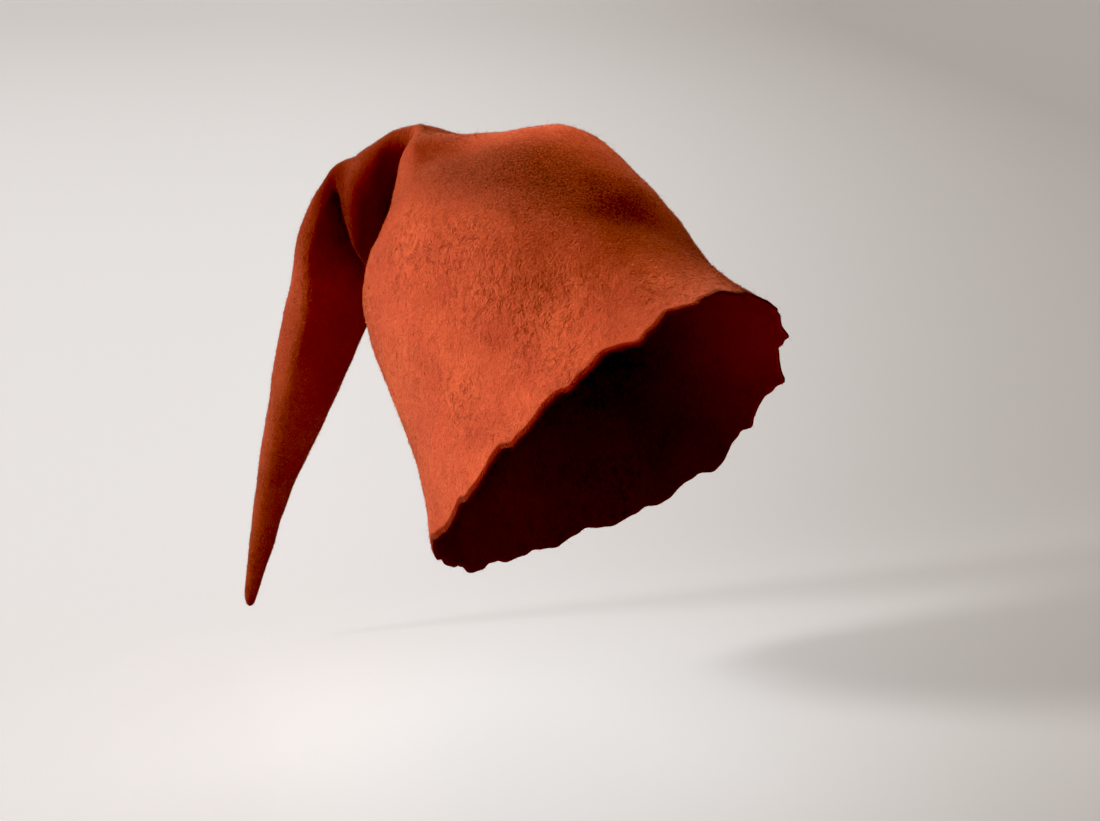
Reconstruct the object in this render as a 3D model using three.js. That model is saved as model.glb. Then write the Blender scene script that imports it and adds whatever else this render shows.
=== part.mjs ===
// A pointed hat of wool felt, wet-felted as one seamless shell. The hood has a wavy flared rim, high over
// the brow and low at the nape. Its long point bends down behind the crown, tucks into a pleat, bends
// again and hangs as a flattened tail that drifts to the wearer's right.
// Millimetres, +Z up. The face looks along -Y and the wearer's left is +X.
// The origin is where the inside of the crown rests on top of a head.

import * as THREE from 'three';
import { LoftGeometry } from 'three/addons/geometries/LoftGeometry.js';

// Driving sizes
const RIPPLES_AROUND = 19;         // main ripples once around the rim
const POINTS_PER_RIPPLE = 4;       // a crest, a trough and the two slopes between them
const RIPPLE_REACH = 1.3;          // sections from the rim over which the ripples die away
const NAPE_CALM = 0.5;             // share of the ripples' size that is lost at the nape
const FELT_COLOUR = 0xc0492a;
const FELT_ROUGHNESS = 0.95;

// Sections of the shell from the rim to the tip, one row for each place where its shape changes.
//   over_y, over_z      the line over the brow, the crown and the outside of the tail
//   under_y, under_z    the line up the nape, through both creases and down the inside of the tail
//   half_width          half of the width across the section
//   egg                 how far the widest place moves from the middle towards the over line
//   square              how much fuller the corners are than an ellipse's
//   sag_left, sag_right how far the sides hang out of the section's plane towards the rim
//   drift               sideways place of the section's middle
//   turn                degrees that the width is turned, the wearer's right side forwards
//   lean                degrees that the width is tilted, the wearer's right side up
//   wall                thickness of the felt, thinner through the pleat
const SECTION_COLUMNS = ['over_y', 'over_z', 'under_y', 'under_z', 'half_width',
  'egg', 'square', 'sag_left', 'sag_right', 'drift', 'turn', 'lean', 'wall'];
const SECTIONS = {
  rim:         [-132,  -71,  40, -261,  106, -0.06, 0.00, 21, 7,     0,  0,    0, 2.6],
  flare:       [-112,  -67,  49, -239,  102, -0.05, 0.00, 15, 5,     0,  0,    0, 2.6],
  waist:       [ -89,  -57,  60, -212,   97, -0.03, 0.00,  7, 2,     0,  0,    0, 2.6],
  brow:        [ -63,  -37,  78, -176,   95,  0.00, 0.02,  0, 0,     0,  0,    0, 2.6],
  crown:       [ -32,  -15,  98, -142,   91,  0.00, 0.06,  0, 0,     0,  0,    0, 2.6],
  top:         [   3,  5.5, 115, -108,   76,  0.00, 0.10,  0, 0,     0,  2,    0, 2.6],
  back:        [  40,    0, 113,  -70,   55,  0.00, 0.10,  0, 0,   1.5,  7,    5, 2.4],
  neck:        [  70,   -5,  97,  -36, 48.5,  0.00, 0.15,  0, 0,     0, 13,   13, 1.7],
  first_bend:  [  94,   -4,  90,  -22,   39,  0.00, 0.30,  0, 0,     5, 17,   16, 1.7],
  pleat_front: [ 105,   -6, 109,  -35,   37,  0.08, 0.22,  0, 0,    -2, 17,   16, 1.5],
  pleat_deep:  [ 114,   -8, 119,  -82,   40,  0.05, 0.15,  0, 0,    -9, 17,   16, 1.5],
  pleat:       [ 123,  -13, 127,  -96,   43,  0.00, 0.12,  0, 0,   -13, 16, 13.5, 1.5],
  pleat_back:  [ 134,  -20, 133,  -80,   40,  0.00, 0.15,  0, 0,   -14, 14, 13.5, 1.5],
  second_bend: [ 146,  -31, 138,  -50,   37,  0.08, 0.33,  0, 0,   -17, 12,   11, 2.5],
  tail_root:   [ 162,  -59, 144,  -82,   36,  0.00, 0.25,  0, 0, -28.5,  9,    4, 1.8],
  tail_upper:  [ 170, -100, 142, -113, 33.5,  0.00, 0.20,  0, 0,   -35,  6,    0, 2.4],
  tail_middle: [ 182, -154, 157, -167, 26.5,  0.00, 0.15,  0, 0,   -45,  2,    0, 2.6],
  tail_lower:  [ 192, -209, 174, -218, 16.2,  0.00, 0.08,  0, 0, -56.5,  0,    0, 2.6],
  tail_slim:   [ 198, -254, 185, -260,  9.5,  0.00, 0.00,  0, 0,   -65,  0,    0, 2.6],
  tail_end:    [ 200, -293, 191, -296,  5.5,  0.00, 0.00,  0, 0,   -74,  0,    0, 2.6],
  tip:         [ 199, -309, 191, -311,  4.4,  0.00, 0.00,  0, 0,   -78,  0,    0, 2.6],
};

// Ripples of the rim, each a wave that runs around it
const RIPPLES = [
  { around: RIPPLES_AROUND, rise: 2.4, flare: 1.2, phase: 291 },
  { around: 11, rise: 1.4, flare: 1.2, phase: 1 },
  { around: 5, rise: 0.8, flare: 1.0, phase: 45 },
];

// Soft dents, or bulges where the depth is negative, placed by section and by degrees around
const DENTS = [
  { name: 'curled corner at the nape', section: 0, around: 243, along: 0.75, across: 9, depth: -6 },
  { name: 'hollow in front of the neck', section: 5.2, around: 321, along: 0.9, across: 22, depth: 14 },
  { name: 'ridge beside the hollow', section: 6, around: 287, along: 0.9, across: 11, depth: -4 },
  { name: 'hollow below the neck', section: 5.7, around: 243, along: 0.6, across: 20, depth: 4 },
  { name: 'hollow over the brow', section: 2.9, around: 6, along: 0.45, across: 16, depth: 5 },
];

// Rings between sections, outside and inside the shell
const RING_STEPS = [
  { from: 'rim', to: 'brow', outside: 2, inside: 2 },
  { from: 'brow', to: 'neck', outside: 2, inside: 1 },
  { from: 'neck', to: 'pleat_deep', outside: 3, inside: 3 },
  { from: 'pleat_deep', to: 'pleat_back', outside: 2, inside: 2 },
  { from: 'pleat_back', to: 'tail_root', outside: 3, inside: 3 },
  { from: 'tail_root', to: 'tail_lower', outside: 1, inside: 1 },
  { from: 'tail_lower', to: 'tail_end', outside: 1, inside: 0 },
];
const ROUND_END_DEGREES = [30, 60, 90];    // rings of a rounded end, as angles from its full size

const NAMES = Object.keys(SECTIONS);
const LAST = NAMES.length - 1;
const TIP_START = NAMES.indexOf('tail_end');
const HOLLOW_END = NAMES.indexOf('tail_lower');
const RING_POINTS = RIPPLES_AROUND * POINTS_PER_RIPPLE;

// One smooth curve for each column, through its value at every section
const columnCurves = SECTION_COLUMNS.map((name, column) => new THREE.SplineCurve(
  NAMES.map((section, row) => new THREE.Vector2(row, SECTIONS[section][column]))));

function sectionAt(row) {
  const values = columnCurves.map((curve) => curve.getPoint(row / LAST).y);
  return Object.fromEntries(SECTION_COLUMNS.map((name, column) => [name, values[column]]));
}

// The share of its full size that a rounded end keeps, one section long from its start
function roundEnd(row, start) {
  const beyond = THREE.MathUtils.clamp(row - start, 0, 1);
  return Math.sqrt(1 - beyond * beyond);
}

function degreesApart(angle, degrees) {
  return THREE.MathUtils.euclideanModulo(THREE.MathUtils.radToDeg(angle) - degrees + 180, 360) - 180;
}

// How far the ripples move a point towards the rim and outwards, and the dents move it outwards
function reliefAt(row, angle) {
  const calm = 1 - NAPE_CALM * (1 - Math.cos(angle)) / 2;
  const fade = calm * Math.pow(Math.max(0, 1 - row / RIPPLE_REACH), 1.5);
  const relief = { rise: 0, outwards: 0 };
  for (const { around, rise, flare, phase } of RIPPLES) {
    const wave = fade * Math.cos(around * (angle - THREE.MathUtils.degToRad(phase)));
    relief.rise += rise * wave;
    relief.outwards += flare * wave;
  }
  for (const { section, around, along, across, depth } of DENTS) {
    const distance = Math.hypot((row - section) / along, degreesApart(angle, around) / across);
    relief.outwards -= depth * Math.exp(-distance * distance);
  }
  return relief;
}

// A point of the outer face. Angle 0 is the over line, a quarter turn the wearer's left.
function outerPoint(row, angle) {
  const s = sectionAt(row);
  const cos = Math.cos(angle);
  const sin = Math.sin(angle);
  const size = roundEnd(row, TIP_START);
  const towardsOver = new THREE.Vector3(0, s.over_y - s.under_y, s.over_z - s.under_z);
  const halfDepth = towardsOver.length() / 2;
  towardsOver.normalize();
  const towardsTip = new THREE.Vector3(0, towardsOver.z, -towardsOver.y);
  const turn = THREE.MathUtils.degToRad(s.turn);
  const lean = THREE.MathUtils.degToRad(s.lean);
  const towardsLeft = new THREE.Vector3(Math.cos(turn), Math.sin(turn), 0)
    .multiplyScalar(Math.cos(lean)).setZ(-Math.sin(lean));

  const relief = reliefAt(row, angle);
  const outwards = new THREE.Vector2(cos * s.half_width, sin * halfDepth).normalize();
  const along = halfDepth * size * (cos * (1 + s.square * sin * sin) + s.egg * sin * sin)
    + relief.outwards * outwards.x;
  const across = s.half_width * size * sin * (1 + s.square * cos * cos)
    + relief.outwards * outwards.y;
  const sag = (sin > 0 ? s.sag_left : s.sag_right) * sin * sin;

  return new THREE.Vector3(s.drift, (s.over_y + s.under_y) / 2, (s.over_z + s.under_z) / 2)
    .addScaledVector(towardsOver, along)
    .addScaledVector(towardsLeft, across)
    .addScaledVector(towardsTip, -sag - relief.rise);
}

// Unit directions at a point of the outer face: out of the felt, and along it towards the tip.
// They are taken over a third of a section, so that they turn gradually through a crease.
function directionsAt(row, angle) {
  const rowStep = 1 / 3;
  const angleStep = 0.01;
  const ahead = outerPoint(row + rowStep, angle);
  const alongFelt = ahead.sub(outerPoint(Math.max(row - rowStep, 0), angle)).normalize();
  const aroundFelt = outerPoint(row, angle + angleStep).sub(outerPoint(row, angle - angleStep));
  const out = new THREE.Vector3().crossVectors(aroundFelt, alongFelt).normalize();
  return { out, alongFelt };
}

// A point at a share of the felt's thickness: 0 is the outer face and 1 the inner face.
// Between them, at the rim, the edge bulges by half of the thickness.
function feltPoint(row, angle, share) {
  const point = outerPoint(row, angle);
  if (share === 0) {
    return point;
  }
  const { wall } = sectionAt(row);
  const { out, alongFelt } = directionsAt(row, angle);
  const bulge = wall * Math.sqrt(share * (1 - share));
  return point.addScaledVector(out, -wall * share).addScaledVector(alongFelt, -bulge);
}

function ring(row, share) {
  const points = [];
  const middle = new THREE.Vector3();
  for (let k = 0; k < RING_POINTS; k += 1) {
    const point = feltPoint(row, (2 * Math.PI * k) / RING_POINTS, share);
    middle.addScaledVector(point, 1 / RING_POINTS);
    points.push(point);
  }
  const size = share === 1 ? roundEnd(row, HOLLOW_END) : 1;
  return points.map((point) => point.lerp(middle, 1 - size));
}

// Section positions from the rim to a rounded end, with a number of steps between sections
function rowsFromRim(side, endStart) {
  const rows = [];
  for (const steps of RING_STEPS) {
    const first = NAMES.indexOf(steps.from);
    const count = (NAMES.indexOf(steps.to) - first) * steps[side];
    for (let k = 0; k < count; k += 1) {
      rows.push(first + k / steps[side]);
    }
  }
  rows.push(endStart);
  return rows.concat(ROUND_END_DEGREES.map((end) => endStart + Math.sin(THREE.MathUtils.degToRad(end))));
}

// The shell runs from the end of the hollow down the inner face, around the rim's edge and up the outer face
function hatRings() {
  const inside = rowsFromRim('inside', HOLLOW_END).reverse().map((row) => ring(row, 1));
  const edge = ring(0, 0.5);
  const outside = rowsFromRim('outside', TIP_START).map((row) => ring(row, 0));
  return [...inside, edge, ...outside];
}

const felt = new THREE.MeshStandardMaterial({ color: FELT_COLOUR, roughness: FELT_ROUGHNESS, metalness: 0 });
const hat = new THREE.Mesh(new LoftGeometry(hatRings()), felt);
hat.name = 'felt_hat';

const group = new THREE.Group();
group.add(hat);

export default group;
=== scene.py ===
# %% [markdown]
# # A pointed hat of wool felt
# The hat is one seamless piece. Layers of loose wool are wetted, soaped and rubbed over a shape until the
# fibres lock into felt, so there is no seam, hem or lining to model. What the eye reads instead is the soft
# rolling form, the wavy edge, the two bends behind the crown, and the matt surface with its short fibres.
# This lesson makes that form as one function of two numbers, then gives it a felt material and a real nap.

# %% Load the fixed model
import math

import bpy
import numpy as np
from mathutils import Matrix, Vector


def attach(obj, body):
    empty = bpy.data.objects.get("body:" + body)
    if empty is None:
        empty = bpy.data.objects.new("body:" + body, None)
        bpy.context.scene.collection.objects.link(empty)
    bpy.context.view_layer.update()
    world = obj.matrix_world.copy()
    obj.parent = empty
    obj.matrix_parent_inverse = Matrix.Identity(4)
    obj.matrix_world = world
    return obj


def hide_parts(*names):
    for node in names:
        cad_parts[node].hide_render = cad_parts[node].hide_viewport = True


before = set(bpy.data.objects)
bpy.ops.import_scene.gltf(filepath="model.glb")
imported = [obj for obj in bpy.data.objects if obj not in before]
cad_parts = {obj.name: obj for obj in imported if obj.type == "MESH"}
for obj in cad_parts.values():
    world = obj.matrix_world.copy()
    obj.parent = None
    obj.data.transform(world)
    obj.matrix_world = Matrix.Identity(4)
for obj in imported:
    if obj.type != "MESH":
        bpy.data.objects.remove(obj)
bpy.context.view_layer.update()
MM = 0.001

# %% [markdown]
# ## The camera
# The camera comes first, because every later choice is judged through it. It stands level with the top of the
# hat, a little in front of the wearer's right shoulder, and looks slightly down. A long lens keeps the tail
# and the rim in natural proportion.

# %% Set the camera
CAMERA_TARGET = Vector((0, 0, -0.160))
CAMERA_AZIMUTH = math.radians(-45)
CAMERA_ELEVATION = math.radians(14.1)
CAMERA_DISTANCE = 1.2577
CAMERA_LENS = 70

camera_data = bpy.data.cameras.new("camera")
camera_data.lens = CAMERA_LENS
camera = bpy.data.objects.new("camera", camera_data)
bpy.context.scene.collection.objects.link(camera)
bpy.context.scene.camera = camera

towards_camera = Vector((
    math.sin(CAMERA_AZIMUTH) * math.cos(CAMERA_ELEVATION),
    -math.cos(CAMERA_AZIMUTH) * math.cos(CAMERA_ELEVATION),
    math.sin(CAMERA_ELEVATION),
))
camera.location = CAMERA_TARGET + CAMERA_DISTANCE * towards_camera
camera.rotation_euler = (-towards_camera).to_track_quat("-Z", "Y").to_euler()
print("camera at", [round(v, 3) for v in camera.location])

# %% [markdown]
# ## The sections
# A felt hood has no flat faces to measure, so its shape is given by sections, as a boat's hull is. Each row
# is a soft oval between a point on the line over the top and a point on the line underneath. The hood's ovals
# lean back from the brow to the nape. Behind the crown they shrink, turn and tuck into a pleat, and then they
# follow the tail down. One could sculpt this by hand, but a table can be read, checked and changed. Lengths
# are in mm and angles in degrees.

# %% Write down the sections
SECTION_COLUMNS = ("over_y", "over_z", "under_y", "under_z", "half_width", "egg", "square",
                   "sag_left", "sag_right", "drift", "turn", "lean", "wall")
SECTIONS = {
    "rim":         (-132,  -71,  40, -261,  106, -0.06, 0.00, 21, 7,     0,  0,    0, 2.6),
    "flare":       (-112,  -67,  49, -239,  102, -0.05, 0.00, 15, 5,     0,  0,    0, 2.6),
    "waist":       ( -89,  -57,  60, -212,   97, -0.03, 0.00,  7, 2,     0,  0,    0, 2.6),
    "brow":        ( -63,  -37,  78, -176,   95,  0.00, 0.02,  0, 0,     0,  0,    0, 2.6),
    "crown":       ( -32,  -15,  98, -142,   91,  0.00, 0.06,  0, 0,     0,  0,    0, 2.6),
    "top":         (   3,  5.5, 115, -108,   76,  0.00, 0.10,  0, 0,     0,  2,    0, 2.6),
    "back":        (  40,    0, 113,  -70,   55,  0.00, 0.10,  0, 0,   1.5,  7,    5, 2.4),
    "neck":        (  70,   -5,  97,  -36, 48.5,  0.00, 0.15,  0, 0,     0, 13,   13, 1.7),
    "first_bend":  (  94,   -4,  90,  -22,   39,  0.00, 0.30,  0, 0,     5, 17,   16, 1.7),
    "pleat_front": ( 105,   -6, 109,  -35,   37,  0.08, 0.22,  0, 0,    -2, 17,   16, 1.5),
    "pleat_deep":  ( 114,   -8, 119,  -82,   40,  0.05, 0.15,  0, 0,    -9, 17,   16, 1.5),
    "pleat":       ( 123,  -13, 127,  -96,   43,  0.00, 0.12,  0, 0,   -13, 16, 13.5, 1.5),
    "pleat_back":  ( 134,  -20, 133,  -80,   40,  0.00, 0.15,  0, 0,   -14, 14, 13.5, 1.5),
    "second_bend": ( 146,  -31, 138,  -50,   37,  0.08, 0.33,  0, 0,   -17, 12,   11, 2.5),
    "tail_root":   ( 162,  -59, 144,  -82,   36,  0.00, 0.25,  0, 0, -28.5,  9,    4, 1.8),
    "tail_upper":  ( 170, -100, 142, -113, 33.5,  0.00, 0.20,  0, 0,   -35,  6,    0, 2.4),
    "tail_middle": ( 182, -154, 157, -167, 26.5,  0.00, 0.15,  0, 0,   -45,  2,    0, 2.6),
    "tail_lower":  ( 192, -209, 174, -218, 16.2,  0.00, 0.08,  0, 0, -56.5,  0,    0, 2.6),
    "tail_slim":   ( 198, -254, 185, -260,  9.5,  0.00, 0.00,  0, 0,   -65,  0,    0, 2.6),
    "tail_end":    ( 200, -293, 191, -296,  5.5,  0.00, 0.00,  0, 0,   -74,  0,    0, 2.6),
    "tip":         ( 199, -309, 191, -311,  4.4,  0.00, 0.00,  0, 0,   -78,  0,    0, 2.6),
}
NAMES = list(SECTIONS)
LAST = len(NAMES) - 1
TIP_START = NAMES.index("tail_end")
HOLLOW_END = NAMES.index("tail_lower")
print(len(SECTIONS), "sections from", NAMES[0], "to", NAMES[-1])

# %% [markdown]
# Between the sections the shape has to run smoothly, so each column of the table is read as a curve. Straight
# lines would show a ring at every section, and a cubic curve through the rows leaves none.

# %% Read the table as curves


def columns_at(rows):
    """Every column at fractional section numbers: a cubic curve through the table's values, whose slope at a
    section is half of the step from the section before to the section after."""
    table = np.array(list(SECTIONS.values()), float)
    padded = np.vstack([table[0], table, table[-1]])
    start = np.clip(np.floor(rows).astype(int), 0, LAST - 1)
    t = (rows - start)[:, None]
    before, here, there, after = (padded[start + k] for k in range(4))
    values = (
        (2 * t**3 - 3 * t**2 + 1) * here
        + (t**3 - 2 * t**2 + t) * (there - before) / 2
        + (3 * t**2 - 2 * t**3) * there
        + (t**3 - t**2) * (after - here) / 2
    )
    return dict(zip(SECTION_COLUMNS, values.T[:, :, None]))


half_way = columns_at(np.array([0.5]))["half_width"].item()
print("half way from the rim to the flare, half of the width is", round(half_way, 1), "mm")

# %% [markdown]
# ## Ripples and dents
# Rubbing stretches the edge of the felt more than the hood, so the edge is too long for its place and stands
# in ripples. They could be displaced by a noise, but waves that run once around the rim close on themselves
# and die away up the hood, as the real ones do. Fingers have also left a few soft dents and one curled
# corner. A wave gives its number around the rim, and a dent its place, both with their sizes in mm.

# %% Write down the ripples and dents
RIPPLE_REACH = 1.3
RIPPLE_FADE = 1.5
NAPE_CALM = 0.5
RIPPLES = (
    {"around": 19, "rise": 2.4, "flare": 1.2, "phase": 291},
    {"around": 11, "rise": 1.4, "flare": 1.2, "phase": 1},
    {"around": 5, "rise": 0.8, "flare": 1.0, "phase": 45},
)
EDGE_WANDER = (
    {"around": 37, "rise": 0.6, "flare": 0.3, "phase": 15},
    {"around": 53, "rise": 0.5, "flare": 0.3, "phase": 70},
    {"around": 71, "rise": 0.3, "flare": 0.2, "phase": 140},
)
DENTS = {
    "curled corner at the nape": {"section": 0, "around": 243, "along": 0.75, "across": 9, "depth": -6},
    "hollow in front of the neck": {"section": 5.2, "around": 321, "along": 0.9, "across": 22, "depth": 14},
    "ridge beside the hollow": {"section": 6, "around": 287, "along": 0.9, "across": 11, "depth": -4},
    "hollow below the neck": {"section": 5.7, "around": 243, "along": 0.6, "across": 20, "depth": 4},
    "hollow over the brow": {"section": 2.9, "around": 6, "along": 0.45, "across": 16, "depth": 5},
}
print(len(RIPPLES) + len(EDGE_WANDER), "waves around the rim, and dents:", ", ".join(DENTS))

# %% Work out the relief


def relief_at(rows, angles):
    """How far the felt rises towards the rim and stands outwards, in mm. A ripple is a cosine around the rim
    that fades with the section number and towards the nape, and a dent is a bell curve over sections and
    degrees."""
    calm = 1 - NAPE_CALM * (1 - np.cos(angles)) / 2
    fade = calm * np.clip(1 - rows / RIPPLE_REACH, 0, None)[:, None] ** RIPPLE_FADE
    rise = np.zeros((len(rows), len(angles)))
    outwards = rise.copy()
    for wave in RIPPLES + EDGE_WANDER:
        shape = fade * np.cos(wave["around"] * (angles - math.radians(wave["phase"])))
        rise += wave["rise"] * shape
        outwards += wave["flare"] * shape
    for dent in DENTS.values():
        apart = (np.degrees(angles) - dent["around"] + 180) % 360 - 180
        lengthwise = ((rows - dent["section"]) / dent["along"])[:, None]
        outwards -= dent["depth"] * np.exp(-(lengthwise**2 + (apart / dent["across"]) ** 2))
    return rise, outwards


rim_rise = relief_at(np.zeros(1), np.linspace(0, 2 * math.pi, 360))[0]
print("the edge rises and falls by", round(float(np.ptp(rim_rise)), 1), "mm")

# %% [markdown]
# ## The outer face
# The whole outside is one function of two numbers: which section, and which angle around it. Angle 0 is the
# line over the top and a quarter turn is the wearer's left. numpy works out every point of the grid at once.

# %% Work out the outer face
AROUND = 304
ANGLES = np.linspace(0, 2 * math.pi, AROUND, endpoint=False)


def outer_face(rows, angles):
    """Points in mm, one for each section number and angle. Each section is an oval: half of its depth times
    the cosine, plus its half width times the sine. 'square' fills its corners, 'egg' moves its widest place,
    'sag' lets its sides hang towards the rim, 'turn' swings its width round, 'lean' tilts it, and the relief
    is added outwards."""
    rows = np.clip(rows, 0, LAST)
    column = columns_at(rows)
    cos, sin = np.cos(angles), np.sin(angles)
    size = np.sqrt(1 - np.clip(rows - TIP_START, 0, 1) ** 2)[:, None]
    depth_y = (column["over_y"] - column["under_y"]) / 2
    depth_z = (column["over_z"] - column["under_z"]) / 2
    depth = np.hypot(depth_y, depth_z)
    over_y, over_z = depth_y / depth, depth_z / depth

    rise, outwards = relief_at(rows, angles)
    slope_over, slope_side = cos * column["half_width"], sin * depth
    slope = np.hypot(slope_over, slope_side)
    along = depth * size * (cos * (1 + column["square"] * sin**2) + column["egg"] * sin**2)
    along = along + outwards * slope_over / slope
    across = column["half_width"] * size * sin * (1 + column["square"] * cos**2)
    across = across + outwards * slope_side / slope
    sag = np.where(sin > 0, column["sag_left"], column["sag_right"]) * sin**2
    back = -sag - rise

    turn, lean = np.radians(column["turn"]), np.radians(column["lean"])
    level, drop = across * np.cos(lean), across * np.sin(lean)
    middle_y = (column["over_y"] + column["under_y"]) / 2
    middle_z = (column["over_z"] + column["under_z"]) / 2
    x = column["drift"] + level * np.cos(turn)
    y = middle_y + along * over_y + level * np.sin(turn) + back * over_z
    z = middle_z + along * over_z - drop - back * over_y
    return np.stack([x, y, z], axis=-1)


print("the rim is", round(float(np.ptp(outer_face(np.zeros(1), ANGLES)[..., 0]))), "mm wide")

# %% [markdown]
# The thickness of the felt and its small lumps are laid off square to the outer face, so the face also has to
# give its directions. In a sharp crease they would swing round at once and the inner wall would cross itself.
# Taken over a longer stretch they turn gradually, as thick felt does.

# %% Work out the directions on the felt
ROW_STEP = 1 / 3
ANGLE_STEP = 0.01
TINY = 1e-9


def unit(vectors):
    """Each vector divided by its length."""
    return vectors / np.maximum(np.linalg.norm(vectors, axis=-1, keepdims=True), TINY)


def felt_directions(rows, angles):
    """Unit directions at each point of the outer face: out of the felt, and along it towards the tip. Along
    is the step between the places a third of a section before and after, and out is square to it and to the
    step around."""
    along = unit(outer_face(rows + ROW_STEP, angles) - outer_face(rows - ROW_STEP, angles))
    around = outer_face(rows, angles + ANGLE_STEP) - outer_face(rows, angles - ANGLE_STEP)
    return unit(np.cross(around, along)), along


top_out = felt_directions(np.array([NAMES.index("top")]), np.zeros(1))[0]
print("out of the felt at the top:", np.round(top_out[0, 0], 2).tolist())

# %% [markdown]
# ## The hand of the maker
# Felt that is rolled by hand is never quite even. Where the wool lay thicker the surface swells by half a
# millimetre. A sculpted or textured displacement would do, but a sum of long waves in random directions is
# smooth, has no seam, and is worked out for all points together.

# %% Work out the unevenness
LUMP_SEED = 11
LUMP_WAVES = 40
LUMP_BANDS = (
    {"length": 55, "height": 0.40},
    {"length": 22, "height": 0.18},
    {"length": 9, "height": 0.07},
)


def lumps_at(points, bands):
    """Height of the unevenness at points in mm. Each band is a sum of cosines of one wavelength whose
    directions and phases are drawn from a fixed seed, divided so that its spread is the band's height."""
    draw = np.random.default_rng(LUMP_SEED)
    height = np.zeros(points.shape[:-1])
    for band in bands:
        directions = unit(draw.normal(size=(LUMP_WAVES, 3))) * 2 * math.pi / band["length"]
        phases = draw.uniform(0, 2 * math.pi, LUMP_WAVES)
        for direction, phase in zip(directions, phases):
            height += band["height"] * math.sqrt(2 / LUMP_WAVES) * np.cos(points @ direction + phase)
    return height


hood_lumps = lumps_at(outer_face(np.arange(NAMES.index("neck")), ANGLES), LUMP_BANDS)
print("the hood's lumps spread by", round(float(hood_lumps.std()), 2), "mm")

# %% [markdown]
# ## The shell
# The felt has a real thickness, so the shell runs as one strip of rings: from the closed end of the hollow
# down the inside of the hood, around the rounded edge, and up the outside to the tip. A Solidify modifier
# could thicken a single sheet, but it gives a square edge, and felt rolls over softly at its rim.

# %% Choose the rings
OUTSIDE_STEPS = (("rim", "neck", 14), ("neck", "tail_root", 12), ("tail_root", "tail_end", 8))
INSIDE_STEPS = (("rim", "brow", 8), ("brow", "neck", 5), ("neck", "tail_root", 3),
                ("tail_root", "tail_lower", 4))
ROUND_END = np.sin(np.radians([15, 30, 45, 60, 75]))


def rows_between(steps, end_start):
    """Section numbers from the rim to the start of a rounded end and on around it, with the given count of
    equal steps to a section."""
    rows = []
    for first, last, count in steps:
        a, b = NAMES.index(first), NAMES.index(last)
        rows.extend(np.linspace(a, b, (b - a) * count, endpoint=False))
    return np.concatenate([rows, [end_start], end_start + ROUND_END])


outside_rows = rows_between(OUTSIDE_STEPS, TIP_START)
inside_rows = rows_between(INSIDE_STEPS, HOLLOW_END)
print(len(outside_rows), "rings outside and", len(inside_rows), "inside")

# %% Build the shell
EDGE_SHARES = (0.85, 0.7, 0.5, 0.3, 0.15)


def felt_layer(rows, share):
    """Rings at a share of the thickness: 0 is the outer face, 1 the inner face, and between them the edge
    bulges as half of an ellipse. The unevenness moves every layer the same way, fading out at the tip."""
    out, along = felt_directions(rows, ANGLES)
    points = outer_face(rows, ANGLES)
    wall = columns_at(rows)["wall"][:, :, None]
    fade = np.clip(LAST - rows, 0, 1)[:, None]
    lumps = (lumps_at(points, LUMP_BANDS) * fade)[:, :, None]
    bulge = wall * math.sqrt(share * (1 - share))
    return points + (lumps - wall * share) * out - bulge * along


outside = felt_layer(outside_rows, 0)
inside = felt_layer(inside_rows, 1)
closing = np.sqrt(1 - np.clip(inside_rows - HOLLOW_END, 0, 1) ** 2)[:, None, None]
middles = inside.mean(axis=1, keepdims=True)
inside = middles + (inside - middles) * closing
edge = np.concatenate([felt_layer(np.zeros(1), share) for share in EDGE_SHARES])
rings = np.concatenate([inside[::-1], edge, outside])
ring_rows = np.concatenate([inside_rows[::-1], np.zeros(len(EDGE_SHARES)), outside_rows])
hollow_pole = felt_layer(np.array([HOLLOW_END + 1.0]), 1).mean(axis=(0, 1))
tip_pole = outer_face(np.array([float(LAST)]), ANGLES).mean(axis=(0, 1))
poles = np.stack([hollow_pole, tip_pole])
print(len(rings), "rings of", AROUND, "points")

# %% [markdown]
# ## From rings to a mesh
# The rings become quads, and each end closes in a fan around one point, so the shell is watertight. One small
# function puts arrays into a mesh and is used again for the fibres.

# %% Make the hat's mesh


def make_piece(name, points, quads, triangles):
    """A smooth-shaded mesh object from points in mm, quads and triangles, riding on the hat's one body."""
    mesh = bpy.data.meshes.new(name)
    mesh.from_pydata((points * MM).tolist(), [], quads.tolist() + triangles.tolist())
    mesh.polygons.foreach_set("use_smooth", np.ones(len(mesh.polygons), bool))
    piece = bpy.data.objects.new(name, mesh)
    bpy.context.scene.collection.objects.link(piece)
    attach(piece, "root")
    print(name, "has", 2 * len(quads) + len(triangles), "triangles")
    return piece


index = np.arange(len(rings) * AROUND).reshape(len(rings), AROUND)
following = np.roll(index, -1, axis=1)
hat_quads = np.stack([index[:-1], following[:-1], following[1:], index[1:]], axis=-1).reshape(-1, 4)
hollow_fan = np.stack([np.full(AROUND, index.size), following[0], index[0]], axis=-1)
tip_fan = np.stack([index[-1], following[-1], np.full(AROUND, index.size + 1)], axis=-1)
hat_points = np.concatenate([rings.reshape(-1, 3), poles])
hat = make_piece("wool_felt_hat", hat_points, hat_quads, np.concatenate([hollow_fan, tip_fan]))
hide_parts("felt_hat")

# %% [markdown]
# ## Marking the painted shade on the edge, the folds and a band
# The edge, the folds behind the crown and the inside of the hood are darkened with painted shade. A broad
# band from the brow up to the neck gets painted shade as well, and a coarser grain. Numbers stored on the
# points tell the material where these are: 1 in the middle of each, falling softly to 0. A painted mask would
# do the same, but these follow the shape.

# %% Mark the edge
EDGE_REACH = 4.0
EDGE_INSIDE = 0.8


def set_attribute(piece, name, values):
    """Stores one number for each point of a piece, for its material to read."""
    attribute = piece.data.attributes.new(name, "FLOAT", "POINT")
    attribute.data.foreach_set("value", np.asarray(values, np.float32).ravel())


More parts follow.
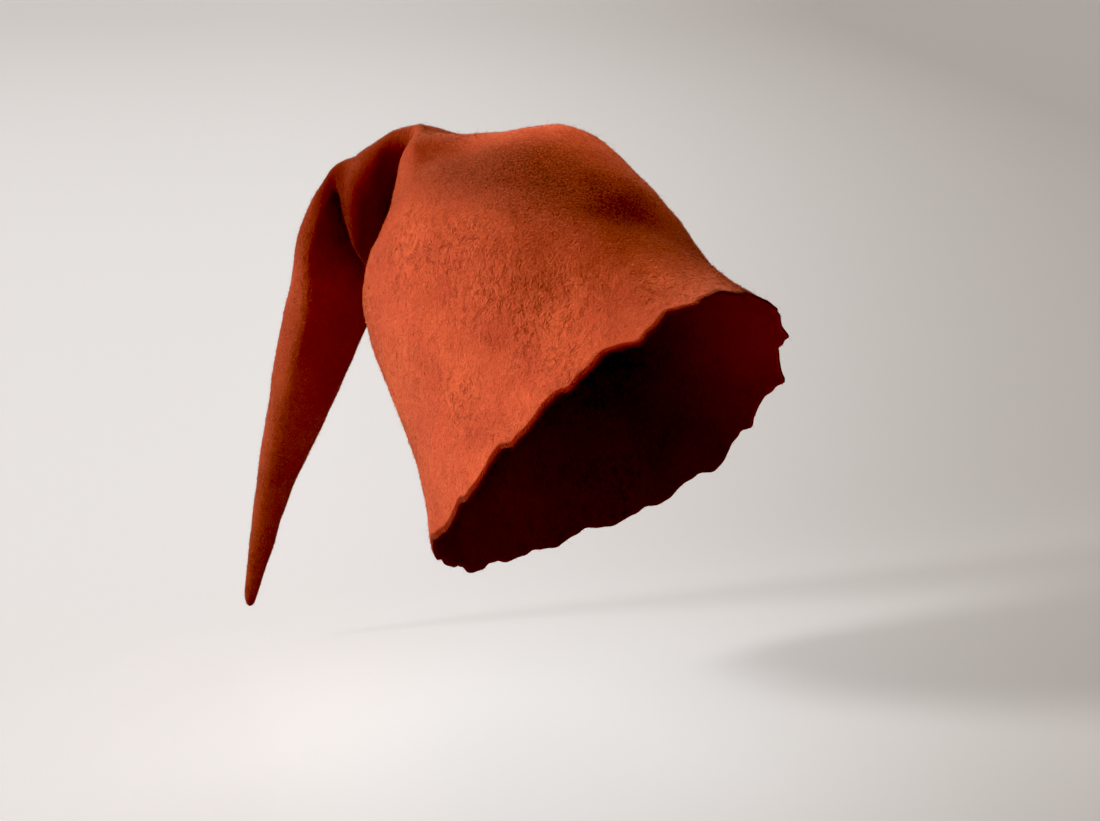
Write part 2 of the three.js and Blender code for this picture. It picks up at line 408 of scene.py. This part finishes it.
def mark_hat(name, mark):
    """Stores a mark on the points of the rings, and 0 on the two points that close the ends."""
    set_attribute(hat, name, np.concatenate([mark.ravel(), np.zeros(len(poles))]))
    print(name, "is marked on", int((mark > 0).sum()), "points")


from_edge = np.concatenate([
    EDGE_REACH + np.zeros(inside.shape[:2]),
    EDGE_REACH * np.linspace(EDGE_INSIDE, 0, len(EDGE_SHARES))[:, None] + np.zeros(AROUND),
    np.linalg.norm(outside - outside[:1], axis=-1),
])
# 1 on the edge, where the material paints shade; the same mark thins the nap there.
edge_mark = np.clip(1 - from_edge / EDGE_REACH, 0, 1)
mark_hat("edge", edge_mark)

# %% Mark the folds and the inside
FOLD_ENDS = (NAMES.index("first_bend"), NAMES.index("tail_root") + 0.5)
FOLD_SIDE = math.radians(245)
SOFT_END = 1.5
INSIDE_SHADE = 0.5


def fold_mark(rows):
    """1 between the two bends on the side where the folds close, 0 away from them. It rises over a section
    and a half, and around the felt it is a squared half wave."""
    first, last = FOLD_ENDS
    lengthwise = np.clip((rows - first) / SOFT_END, 0, 1) * np.clip((last - rows) / SOFT_END, 0, 1)
    return lengthwise[:, None] * ((1 + np.cos(ANGLES - FOLD_SIDE)) / 2) ** 2


# Painted shade in the folds behind the crown, and at least half as much all over the inside of the hood.
folds = fold_mark(ring_rows)
folds[:len(inside_rows)] = np.maximum(folds[:len(inside_rows)], INSIDE_SHADE)
mark_hat("fold", folds)

# %% Mark the band of painted shade
BAND_ENDS = (1.5, 6.3)
BAND_SECTION = 3.2
BAND_SLOPE = -20
BAND_ACROSS = 23


def shade_band_mark(rows):
    """1 along a line that crosses the top at one section and turns around the felt by so many degrees a
    section, falling off on both sides as a bell curve and towards both ends over a section and a half."""
    from_ends = np.minimum(rows - BAND_ENDS[0], BAND_ENDS[1] - rows)
    centre = BAND_SLOPE * (rows - BAND_SECTION)
    apart = (np.degrees(ANGLES) - centre[:, None] + 180) % 360 - 180
    return np.clip(from_ends / SOFT_END, 0, 1)[:, None] * np.exp(-((apart / BAND_ACROSS) ** 2))


# A band of painted shade across the front of the crown; the material also makes its grain coarser.
shade_band = shade_band_mark(ring_rows)
mark_hat("shade_band", shade_band)

# %% [markdown]
# ## Colours and nodes
# Colours are written as they are seen on a screen and turned to the linear values that light is worked out
# with. Node trees are long to write by hand, so one small function adds a node, sets it, links it and hands
# on the output that the next node needs. The felt's material starts with the coordinates of its patterns.

# %% Turn colours to linear light


def linear(hex_colour):
    """An sRGB hex colour as linear red, green, blue and alpha: the lowest values divided by 12.92, the others
    raised to the power 2.4."""
    srgb = np.array([int(hex_colour[k:k + 2], 16) / 255 for k in (1, 3, 5)])
    values = np.where(srgb <= 0.04045, srgb / 12.92, ((srgb + 0.055) / 1.055) ** 2.4)
    return (*values.tolist(), 1.0)


print("middle grey is", round(linear("#808080")[0], 3), "in linear light")

# %% Add nodes


def new_material(name):
    """A material with an empty node tree, and that tree."""
    material = bpy.data.materials.new(name)
    material.use_nodes = True
    material.node_tree.nodes.clear()
    return material, material.node_tree


def add_node(tree, kind, inputs, gives=0, **settings):
    """Adds a node with its settings and returns the output that 'gives' names. Each input gets a value, or a
    link from the output of another node."""
    node = tree.nodes.new(kind)
    for name, value in settings.items():
        setattr(node, name, value)
    for name, value in inputs.items():
        if isinstance(value, bpy.types.NodeSocket):
            tree.links.new(value, node.inputs[name])
        else:
            node.inputs[name].default_value = value
    return node.outputs[gives] if node.outputs else None


felt, felt_tree = new_material("wet_felted_wool")
place = add_node(felt_tree, "ShaderNodeTexCoord", {}, "Object")
print("patterns follow the", place.name, "coordinates of", felt.name)

# %% [markdown]
# ## Wet-felted wool
# Felt has no weave. Its fibres lie every way, so it scatters light evenly and has hardly any shine, only a
# pale bloom where the nap is seen edge on. Close up it is full of short curly creases, a millimetre or two
# long, that show most where the light grazes it, and the dye is a little uneven. An image of felt would give
# this too, but patterns on the object's own coordinates need no unwrapping and have no seam. Their sizes are
# real ones in mm. Creases hang a little longer than they are wide.

# %% Lay the patterns of the felt
DYE_PATCH = 34
CREASE_PATCH = 38
CREASE_SIZE = 2.2
CREASE_BREAK = 3.2
GRAIN = 1.1
SPECK = 0.9
HANGING = (1, 1, 0.7)

hung = add_node(felt_tree, "ShaderNodeMapping", {"Vector": place, "Scale": HANGING})
dye = add_node(felt_tree, "ShaderNodeTexNoise", {
    "Vector": place, "Scale": 1 / (DYE_PATCH * MM), "Detail": 3, "Roughness": 0.6})
patches = add_node(felt_tree, "ShaderNodeTexNoise", {
    "Vector": place, "Scale": 1 / (CREASE_PATCH * MM), "Detail": 2})
curls = add_node(felt_tree, "ShaderNodeTexNoise", {
    "Vector": hung, "Scale": 1 / (CREASE_SIZE * MM), "Detail": 2, "Roughness": 0.55, "Distortion": 0.5})
breaks = add_node(felt_tree, "ShaderNodeTexNoise", {
    "Vector": hung, "Scale": 1 / (CREASE_BREAK * MM), "Detail": 2, "Roughness": 0.6})
grain = add_node(felt_tree, "ShaderNodeTexNoise", {
    "Vector": place, "Scale": 1 / (GRAIN * MM), "Detail": 3, "Roughness": 0.7})
specks = add_node(felt_tree, "ShaderNodeTexNoise", {
    "Vector": place, "Scale": 1 / (SPECK * MM), "Detail": 1})
print("patterns from", SPECK, "to", CREASE_PATCH, "mm")

# %% [markdown]
# A crease is a place where a soft noise passes through its middle value, which draws thin winding lines. A
# second noise breaks them into short ones, and a third, much larger, makes some parts of the felt more
# creased than others.

# %% Draw the creases
NOISE_MIDDLE = 0.5
LINE_WIDTH = 0.13
LEAST_CREASED = 0.35

off_middle = add_node(felt_tree, "ShaderNodeMath", {0: curls, 1: NOISE_MIDDLE}, operation="SUBTRACT")
winding = add_node(felt_tree, "ShaderNodeMath", {0: off_middle}, operation="ABSOLUTE")
lines = add_node(felt_tree, "ShaderNodeMapRange", {
    "Value": winding, "From Max": LINE_WIDTH, "To Min": 1.0, "To Max": 0.0})
broken = add_node(felt_tree, "ShaderNodeMapRange", {
    "Value": breaks, "From Min": 0.40, "From Max": 0.66})
creased = add_node(felt_tree, "ShaderNodeMapRange", {
    "Value": patches, "From Min": 0.36, "From Max": 0.60, "To Min": LEAST_CREASED})
short_lines = add_node(felt_tree, "ShaderNodeMath", {0: lines, 1: broken}, operation="MULTIPLY")
crease_share = add_node(felt_tree, "ShaderNodeMath", {0: short_lines, 1: creased}, operation="MULTIPLY")
print("creases about", CREASE_SIZE, "mm apart, broken every", CREASE_BREAK, "mm")

# %% [markdown]
# The marks that were stored on the points come in here. The darkest painted shade belongs to the edge and the
# folds, and the band gets half of it and a coarser grain.

# %% Read the marks
EDGE_SHADE = 0.95
FOLD_SHADE = 0.95
BAND_SHADE = 0.5
COARSENESS = 1.2

edge_stored = add_node(felt_tree, "ShaderNodeAttribute", {}, "Fac", attribute_name="edge")
fold_stored = add_node(felt_tree, "ShaderNodeAttribute", {}, "Fac", attribute_name="fold")
shade_band_stored = add_node(felt_tree, "ShaderNodeAttribute", {}, "Fac", attribute_name="shade_band")
# Painted shade on the edge, which faces away from the light.
edge_share = add_node(felt_tree, "ShaderNodeMapRange", {
    "Value": edge_stored, "From Min": 0.2, "From Max": 0.55, "To Max": EDGE_SHADE})
# Painted shade in the folds and inside the hood.
fold_share = add_node(felt_tree, "ShaderNodeMath", {0: fold_stored, 1: FOLD_SHADE}, operation="MULTIPLY")
# The band gets half of the painted shade.
shade_band_share = add_node(felt_tree, "ShaderNodeMath", {
    0: shade_band_stored, 1: BAND_SHADE}, operation="MULTIPLY")
folded = add_node(felt_tree, "ShaderNodeMath", {0: fold_share, 1: shade_band_share}, operation="MAXIMUM")
painted_shade_share = add_node(felt_tree, "ShaderNodeMath", {0: edge_share, 1: folded}, operation="MAXIMUM")
coarse_grain = add_node(felt_tree, "ShaderNodeMapRange", {
    "Value": grain, "From Min": 0.3, "From Max": 0.7, "To Min": -COARSENESS, "To Max": COARSENESS})
coarse = add_node(felt_tree, "ShaderNodeMath", {0: coarse_grain, 1: shade_band_stored}, operation="MULTIPLY")
# The shares of painted shade on the edge, the folds and the band.
print("deep colour: edge", EDGE_SHADE, "folds", FOLD_SHADE, "unworn band", BAND_SHADE)

# %% [markdown]
# The dye runs from rust to orange in soft patches. Creases are darker with painted shade and dirt, and the
# painted shade on the edge, the folds, the inside and the band is a dark red. The grain lightens and darkens
# all of it by up to a fifth.

# %% Mix the felt's colour
FELT_RUST = "#B04A32"
FELT_ORANGE = "#C45839"
FELT_PAINTED_SHADE = "#66150B"
FELT_CREASE = "#7A2218"
CREASE_DEEP = 0.6
GRAIN_LIGHT = (0.80, 1.16)

dye_share = add_node(felt_tree, "ShaderNodeMapRange", {"Value": dye, "From Min": 0.35, "From Max": 0.65})
dyed = add_node(felt_tree, "ShaderNodeMix", {
    0: dye_share, 6: linear(FELT_RUST), 7: linear(FELT_ORANGE)}, 2, data_type="RGBA")
line_share = add_node(felt_tree, "ShaderNodeMath", {0: crease_share, 1: CREASE_DEEP}, operation="MULTIPLY")
lined = add_node(felt_tree, "ShaderNodeMix", {
    0: line_share, 6: dyed, 7: linear(FELT_CREASE)}, 2, data_type="RGBA")
# Painted shade from the edge, the folds, the inside and the band turns the felt a dark red.
edged = add_node(felt_tree, "ShaderNodeMix", {
    0: painted_shade_share, 6: lined, 7: linear(FELT_PAINTED_SHADE)}, 2, data_type="RGBA")
grain_light = add_node(felt_tree, "ShaderNodeMapRange", {
    "Value": grain, "From Min": 0.25, "From Max": 0.75, "To Min": GRAIN_LIGHT[0], "To Max": GRAIN_LIGHT[1]})
grained = add_node(felt_tree, "ShaderNodeMath", {0: grain_light, 1: coarse}, operation="ADD")
felt_colour = add_node(felt_tree, "ShaderNodeVectorMath", {0: edged, 1: grained}, operation="MULTIPLY")
print("felt colours:", FELT_RUST, FELT_ORANGE, FELT_PAINTED_SHADE, FELT_CREASE)

# %% [markdown]
# The same grain and creases give the surface its height, so light and colour agree. The felt is rough with
# hardly any shine, and the sheen is the pale bloom of its nap.

# %% Finish the felt
GRAIN_HEIGHT = 0.55
SPECK_HEIGHT = 0.85
RELIEF = 0.65
FELT_BLOOM = "#F0A07A"

grain_height = add_node(felt_tree, "ShaderNodeMath", {0: grain, 1: GRAIN_HEIGHT}, operation="MULTIPLY")
speck_height = add_node(felt_tree, "ShaderNodeMath", {0: specks, 1: SPECK_HEIGHT}, operation="MULTIPLY")
fine_height = add_node(felt_tree, "ShaderNodeMath", {0: grain_height, 1: speck_height}, operation="ADD")
raised = add_node(felt_tree, "ShaderNodeMath", {0: fine_height, 1: coarse}, operation="ADD")
felt_height = add_node(felt_tree, "ShaderNodeMath", {0: raised, 1: crease_share}, operation="SUBTRACT")
felt_bump = add_node(felt_tree, "ShaderNodeBump", {
    "Height": felt_height, "Strength": 1.0, "Distance": RELIEF * MM})
felt_surface = add_node(felt_tree, "ShaderNodeBsdfPrincipled", {
    "Base Color": felt_colour, "Normal": felt_bump, "Roughness": 0.95, "Specular IOR Level": 0.12,
    "Sheen Weight": 0.35, "Sheen Roughness": 0.45, "Sheen Tint": linear(FELT_BLOOM)})
add_node(felt_tree, "ShaderNodeOutputMaterial", {"Surface": felt_surface})
hat.data.materials.append(felt)
print(felt.name, "has", len(felt_tree.nodes), "nodes")

# %% [markdown]
# ## The nap
# Loose ends of wool stand off the felt all over. They soften the outline and break up the shading, which a
# bump map can't do at the silhouette. Blender's hair would show them, but it is not geometry that travels
# with the model, so each fibre is a thin ribbon of three triangles. Real wool is about 0.03 mm thick, too
# fine to show, so the ribbons are drawn a few times wider. The nap is thin on the dense edge and inside the
# rim.

# %% Choose where fibres grow
INSIDE_RINGS = 12
INSIDE_NAP = 0.6
EDGE_BARE = 0.8
BAND_SHADE_ON_FIBRES = 0.4

skin_start = len(inside_rows) - INSIDE_RINGS
skin = rings[skin_start:]
skin_rows = ring_rows[skin_start:]
# The fibres carry the painted shade of the edge, the folds, the inside and, less of it, the band.
skin_painted_shade = np.maximum(np.maximum(edge_mark, folds), BAND_SHADE_ON_FIBRES * shade_band)[skin_start:]
skin_weight = 1 - EDGE_BARE * edge_mark[skin_start:]
skin_weight[:INSIDE_RINGS] = INSIDE_NAP
skin_around = np.roll(skin, -1, axis=1) - skin
skin_along = np.diff(skin, axis=0, append=skin[-1:])
skin_out = np.cross(skin_around, skin_along)
cell_area = np.linalg.norm(skin_out, axis=-1) * skin_weight
cell_area[-1] = 0
print("felt that carries nap:", round(cell_area.sum() * MM**2, 3), "square metres")

# %% Find the roots of fibres


def fibre_roots(count, share, draw):
    """Random places on the felt, as many on each square millimetre, where 'share' is 1. Each place is a
    corner of a cell plus random parts of its two sides. Gives points, outward and along directions, and how
    much painted shade the felt has there."""
    chance = (cell_area * share).ravel()
    cell = draw.choice(chance.size, count, p=chance / chance.sum())
    part_around, part_along = draw.uniform(size=(2, count, 1))
    around, along = skin_around.reshape(-1, 3)[cell], skin_along.reshape(-1, 3)[cell]
    roots = skin.reshape(-1, 3)[cell] + part_around * around + part_along * along
    return roots, unit(skin_out.reshape(-1, 3)[cell]), unit(along), skin_painted_shade.ravel()[cell]


print("roots may lie in", int((cell_area > 0).sum()), "cells of the felt")

# %% [markdown]
# Each fibre leaves the felt at a low angle, in any direction but more often towards the rim, and bends back
# towards the surface. A root, a middle and a tip along a parabola are enough at this size.

# %% Bend the fibres
NAP = {"lengths": (1.0, 3.2), "lifts": (10, 60), "width": 0.14, "bends": 2}
HEADING_SPREAD = 1.3
SIDE_CURL = 0.35
DOWN_CURL = 0.45
ROOT_DEPTH = 0.15


def fibre_paths(roots, out, along, kind, draw):
    """Points along each fibre, and the step from its middle to its side. A path is a parabola: root + length
    (t start + t squared bend), for t from 0 to 1 in equal steps. It starts at the lift angle from the felt,
    and it bends to one side and back down."""
    one_each = (len(roots), 1)
    heading = draw.normal(math.pi, HEADING_SPREAD, size=one_each)
    lift = np.radians(draw.uniform(*kind["lifts"], size=one_each))
    length = draw.uniform(*kind["lengths"], size=one_each)
    flat = np.cos(heading) * along + np.sin(heading) * np.cross(out, along)
    start = np.cos(lift) * flat + np.sin(lift) * out
    curl = draw.normal(0, SIDE_CURL, size=one_each) * np.cross(out, flat)
    bend = curl - DOWN_CURL * np.sin(lift) * out
    side = unit(np.cross(start, unit(draw.normal(size=roots.shape)))) * kind["width"] / 2
    steps = np.linspace(0, 1, kind["bends"] + 1)[:, None, None]
    return roots - ROOT_DEPTH * out + length * (steps * start + steps**2 * bend), side


print("nap of", NAP["lengths"][0], "to", NAP["lengths"][1], "mm")

# %% [markdown]
# A ribbon has two points at each step of its path and one at the tip. Fibres cling together in tufts a
# millimetre or two apart, so their tone follows a wave of that length with a little chance added.

# %% Grow fibres as ribbons
RIBBON_TAPER = 0.5
TUFT_BANDS = ({"length": 2.0, "height": 0.36},)
TONE_MIDDLE = 0.45
TONE_CHANCE = 0.2


def make_ribbons(name, path, side):
    """A mesh of ribbons. Each narrows evenly, by half over its length, and ends in a point."""
    bends, count = len(path) - 1, path.shape[1]
    taper = 1 - RIBBON_TAPER * np.linspace(0, 1, bends + 1)[:-1, None, None]
    sides = np.stack([path[:-1] - taper * side, path[:-1] + taper * side], axis=1)
    points = np.concatenate([sides.reshape(2 * bends, count, 3), path[-1:]])
    number = np.arange((2 * bends + 1) * count).reshape(2 * bends + 1, count)
    strips = [number[[2 * k, 2 * k + 1, 2 * k + 3, 2 * k + 2]].T for k in range(bends - 1)]
    return make_piece(name, points.reshape(-1, 3), np.concatenate(strips), number[-3:].T)


def grow_fibres(name, count, share, kind, seed):
    """A piece of fibres of one kind, with a tone and a painted shade stored on the points of each."""
    draw = np.random.default_rng(seed)
    roots, out, along, painted_shade = fibre_roots(count, share, draw)
    path, side = fibre_paths(roots, out, along, kind, draw)
    piece = make_ribbons(name, path, side)
    tone = TONE_MIDDLE + lumps_at(roots, TUFT_BANDS) + draw.uniform(-TONE_CHANCE, TONE_CHANCE, count)
    points_each = 2 * kind["bends"] + 1
    set_attribute(piece, "tone", np.tile(np.clip(tone, 0, 1), points_each))
    set_attribute(piece, "painted_shade", np.tile(painted_shade, points_each))
    return piece


print("tufts are about", TUFT_BANDS[0]["length"], "mm apart")

# %% Grow the nap
NAP_COUNT = 60000

on_tail = (skin_rows > NAMES.index("neck"))[:, None] * np.ones(AROUND)
on_left = (np.sin(ANGLES) >= 0)[None] * (1 - on_tail)
on_right = (np.sin(ANGLES) < 0)[None] * (1 - on_tail)
nap = [
    grow_fibres("nap_of_left_side", NAP_COUNT, on_left, NAP, seed=1),
    grow_fibres("nap_of_right_side", NAP_COUNT, on_right, NAP, seed=2),
    grow_fibres("nap_of_tail", NAP_COUNT, on_tail, NAP, seed=3),
]

# %% [markdown]
# A few longer hairs have worked loose. They are scattered thinly, stand up more and curl, and they are what
# makes the outline look like wool and not like plastic.

# %% Grow the stray hairs
STRAY_COUNT = 2600
STRAY = {"lengths": (4.0, 9.0), "lifts": (12, 60), "width": 0.09, "bends": 6}

everywhere = np.ones((len(skin), AROUND))
stray = grow_fibres("stray_wool_hairs", STRAY_COUNT, everywhere, STRAY, seed=4)

# %% [markdown]
# ## Loose wool
# A single fibre is paler than the felt it leaves, because the felt's depth of colour comes from many fibres
# one behind the other. Each fibre has a tone of its own, stored on its points, between the felt's rust and a
# pale orange. Where the felt has painted shade, its fibres get the same painted shade.

# %% Make the loose wool material
FIBRE_DARK = "#963A1F"
FIBRE_PALE = "#E58D62"

loose_wool, wool_tree = new_material("loose_wool_fibre")
tone_stored = add_node(wool_tree, "ShaderNodeAttribute", {}, "Fac", attribute_name="tone")
painted_shade_stored = add_node(wool_tree, "ShaderNodeAttribute", {}, "Fac", attribute_name="painted_shade")
toned = add_node(wool_tree, "ShaderNodeMix", {
    0: tone_stored, 6: linear(FIBRE_DARK), 7: linear(FIBRE_PALE)}, 2, data_type="RGBA")
# Painted shade darkens the fibres as it darkens the felt.
fibre_colour = add_node(wool_tree, "ShaderNodeMix", {
    0: painted_shade_stored, 6: toned, 7: linear(FELT_PAINTED_SHADE)}, 2, data_type="RGBA")
fibre_surface = add_node(wool_tree, "ShaderNodeBsdfPrincipled", {
    "Base Color": fibre_colour, "Roughness": 0.85, "Specular IOR Level": 0.15})
add_node(wool_tree, "ShaderNodeOutputMaterial", {"Surface": fibre_surface})
for piece in (*nap, stray):
    piece.data.materials.append(loose_wool)
print(len(nap) + 1, "pieces of", loose_wool.name)

# %% [markdown]
# ## Floor and light
# The hat hangs in the air over a plain pale floor that is large enough to fill the view. A white table throws
# a lot of light back up, which would wash out the folds, so the floor throws none back. A low wall of the
# same paper stands far off all round, so that a view from low down ends in paper too. It holds no light back.

# %% Set the floor and the wall
FLOOR_HEIGHT = -0.3357
FLOOR_REACH = 14.0
WALL_HEIGHT = 3.0


def add_stage(name, points, faces):
    """A piece of the surroundings, which throws no light back on the hat."""
    mesh = bpy.data.meshes.new(name)
    mesh.from_pydata(points, [], faces)
    piece = bpy.data.objects.new(name, mesh)
    piece.visible_diffuse = False
    bpy.context.scene.collection.objects.link(piece)
    return piece


corners = [(x * FLOOR_REACH, y * FLOOR_REACH) for x, y in ((-1, -1), (1, -1), (1, 1), (-1, 1))]
low_corners = [(x, y, FLOOR_HEIGHT) for x, y in corners]
high_corners = [(x, y, FLOOR_HEIGHT + WALL_HEIGHT) for x, y in corners]
floor = add_stage("floor", low_corners, [(0, 1, 2, 3)])
wall_faces = [(k, 4 + k, 4 + (k + 1) % 4, (k + 1) % 4) for k in range(4)]
wall = add_stage("wall", low_corners + high_corners, wall_faces)
wall.visible_shadow = False
print("floor at", FLOOR_HEIGHT, "m with a wall", WALL_HEIGHT, "m high")

# %% [markdown]
# The paper shines a little by itself, in place of the light that it would get from a bright room. Its colour
# is palest on the window's side and turns grey with painted shade far behind and to the right, where the
# shade opens like a fan, as on paper that is lit by a window.

# %% Make the paper
FLOOR_PALE = "#D8D8D8"
FLOOR_SHADE_GREY = "#9A9692"
FLOOR_GLOW = 0.66
TOWARDS_RIGHT = (0.707, -0.707, 0)
TOWARDS_BACK = (0.707, 0.707, 0)
FAN_FOOT = (-0.86, -0.86, FLOOR_HEIGHT)
FAN_SIDES = (-0.14, 0.34)
FAN_SHADE = 0.9
BACK_REACH = 7.0
BACK_SHADE = 0.48

paper, paper_tree = new_material("matt_paper")
floor_place = add_node(paper_tree, "ShaderNodeTexCoord", {}, "Object")
to_right = add_node(paper_tree, "ShaderNodeVectorMath", {
    0: floor_place, 1: TOWARDS_RIGHT}, "Value", operation="DOT_PRODUCT")
to_back = add_node(paper_tree, "ShaderNodeVectorMath", {
    0: floor_place, 1: TOWARDS_BACK}, "Value", operation="DOT_PRODUCT")
from_foot = add_node(paper_tree, "ShaderNodeVectorMath", {
    0: floor_place, 1: FAN_FOOT}, "Value", operation="DISTANCE")
fan = add_node(paper_tree, "ShaderNodeMath", {0: to_right, 1: from_foot}, operation="DIVIDE")
# The grey is painted shade, deepening to the right and far behind.
shade_to_right = add_node(paper_tree, "ShaderNodeMapRange", {
    "Value": fan, "From Min": FAN_SIDES[0], "From Max": FAN_SIDES[1]}, interpolation_type="SMOOTHSTEP")
shade_behind = add_node(paper_tree, "ShaderNodeMapRange", {
    "Value": to_back, "From Max": BACK_REACH}, interpolation_type="SMOOTHSTEP")
right_share = add_node(paper_tree, "ShaderNodeMath", {0: shade_to_right, 1: FAN_SHADE}, operation="MULTIPLY")
back_share = add_node(paper_tree, "ShaderNodeMath", {0: shade_behind, 1: BACK_SHADE}, operation="MULTIPLY")
painted_floor_shade = add_node(paper_tree, "ShaderNodeMath", {0: right_share, 1: back_share}, operation="ADD")
paper_colour = add_node(paper_tree, "ShaderNodeMix", {
    0: painted_floor_shade, 6: linear(FLOOR_PALE), 7: linear(FLOOR_SHADE_GREY)}, 2, data_type="RGBA")
paper_surface = add_node(paper_tree, "ShaderNodeBsdfPrincipled", {
    "Base Color": paper_colour, "Roughness": 0.9, "Specular IOR Level": 0.1,
    "Emission Color": paper_colour, "Emission Strength": FLOOR_GLOW})
add_node(paper_tree, "ShaderNodeOutputMaterial", {"Surface": paper_surface})
for piece in (floor, wall):
    piece.data.materials.append(paper)
print(paper.name, "from", FLOOR_PALE, "to", FLOOR_SHADE_GREY)

# %% [markdown]
# The light comes from a window, low to the left. Most of it is a soft beam on the hood, which leaves the tail
# dimmer, and a broad weak light from the same side reaches everything. A second broad light from behind on
# the right draws the hat off the floor. Three small spots give back light that a room throws about: on the
# tail, on the far side of the crown and under the brow. One large lamp would be simpler, but it would light
# the tail as brightly as the hood. Places are in metres, powers in watts and angles in degrees.

# %% Write down the lights
WINDOW_SIDE = Vector((-0.78, 0.64, 0.38)).normalized()
BROAD_LIGHTS = {
    "window_light": {"from": WINDOW_SIDE, "strength": 0.92, "angle": 50},
    "room_light": {"from": (1.0, 0.5, 0.5), "strength": 1.0, "angle": 45},
}
SPOTS = {
    "window_beam": {
        "aim": (-0.053, -0.042, -0.140), "from": (-0.79, 0.49, 0.37), "distance": 1.5,
        "reach": 0.25, "power": 148, "radius": 0.16, "colour": "#FFFFFF"},
    "light_on_the_tail": {
        "aim": (-0.056, 0.183, -0.225), "from": (-0.7, -0.6, 0.1), "distance": 1.2,
        "reach": 0.15, "power": 13, "radius": 0.10, "colour": "#FFFFFF"},
    "light_over_the_crown": {
        "aim": (0.010, 0.000, 0.004), "from": (0.2, 0.5, 1.0), "distance": 0.5,
        "reach": 0.06, "power": 22, "radius": 0.05, "colour": "#FFDDB8"},
    "light_under_the_brow": {
        "aim": (0.078, -0.096, -0.115), "from": (-0.78, -0.53, -0.28), "distance": 0.65,
        "reach": 0.08, "power": 4.2, "radius": 0.05, "colour": "#FF8A60"},
}
print("lights:", ", ".join([*BROAD_LIGHTS, *SPOTS]))

# %% Set the lights


def add_light(name, kind, energy, shines_from, stands_at=(0, 0, 0)):
    """A lamp that stands at a place and is turned to shine from the given direction."""
    lamp = bpy.data.lights.new(name, kind)
    lamp.energy = energy
    holder = bpy.data.objects.new(name, lamp)
    holder.location = stands_at
    holder.rotation_euler = Vector(shines_from).to_track_quat("Z", "Y").to_euler()
    bpy.context.scene.collection.objects.link(holder)
    return lamp


for name, row in BROAD_LIGHTS.items():
    lamp = add_light(name, "SUN", row["strength"], row["from"])
    lamp.angle = math.radians(row["angle"])
for name, row in SPOTS.items():
    lamp_place = Vector(row["aim"]) + row["distance"] * Vector(row["from"]).normalized()
    lamp = add_light(name, "SPOT", row["power"], row["from"], lamp_place)
    lamp.color = linear(row["colour"])[:3]
    lamp.shadow_soft_size = row["radius"]
    lamp.spot_size = 2 * math.atan(row["reach"] / row["distance"])
    lamp.spot_blend = 1.0
print(len(SPOTS), "spots and", len(BROAD_LIGHTS), "broad lights")

# %% [markdown]
# A dim sky fills the shadows. It is brighter overhead and towards the window, so that even the shade has a
# direction. The black point is raised a little, as in a photograph, so that the deepest folds go fully dark.

# %% Set the sky and the black point
SKY_COLOUR = "#FFE9DA"
SKY_STRENGTH = 0.22
SKY_BELOW = 0.5
SKY_OVERHEAD = 1.8
SKY_AWAY = 0.6
BLACK_POINT = 0.017

sky = bpy.data.worlds.new("sky")
sky.use_nodes = True
sky_tree = sky.node_tree
sky_tree.nodes.clear()
direction = add_node(sky_tree, "ShaderNodeTexCoord", {}, "Generated")
window_side = add_node(sky_tree, "ShaderNodeVectorMath", {
    0: direction, 1: WINDOW_SIDE}, "Value", operation="DOT_PRODUCT")
height = add_node(sky_tree, "ShaderNodeSeparateXYZ", {"Vector": direction}, "Z")
above = add_node(sky_tree, "ShaderNodeMapRange", {
    "Value": height, "From Min": -0.5, "From Max": 1.0, "To Min": SKY_BELOW, "To Max": SKY_OVERHEAD})
towards_window = add_node(sky_tree, "ShaderNodeMapRange", {
    "Value": window_side, "From Min": -1.0, "From Max": 1.0, "To Min": SKY_AWAY})
shaded = add_node(sky_tree, "ShaderNodeMath", {0: above, 1: towards_window}, operation="MULTIPLY")
sky_light = add_node(sky_tree, "ShaderNodeMath", {0: shaded, 1: SKY_STRENGTH}, operation="MULTIPLY")
background = add_node(sky_tree, "ShaderNodeBackground", {"Color": linear(SKY_COLOUR), "Strength": sky_light})
add_node(sky_tree, "ShaderNodeOutputWorld", {"Surface": background})
bpy.context.scene.world = sky

view = bpy.context.scene.view_settings
view.view_transform = "Standard"
view.use_curve_mapping = True
view.curve_mapping.black_level = (BLACK_POINT, BLACK_POINT, BLACK_POINT)
print("sky of strength", SKY_STRENGTH, "and black point", BLACK_POINT)
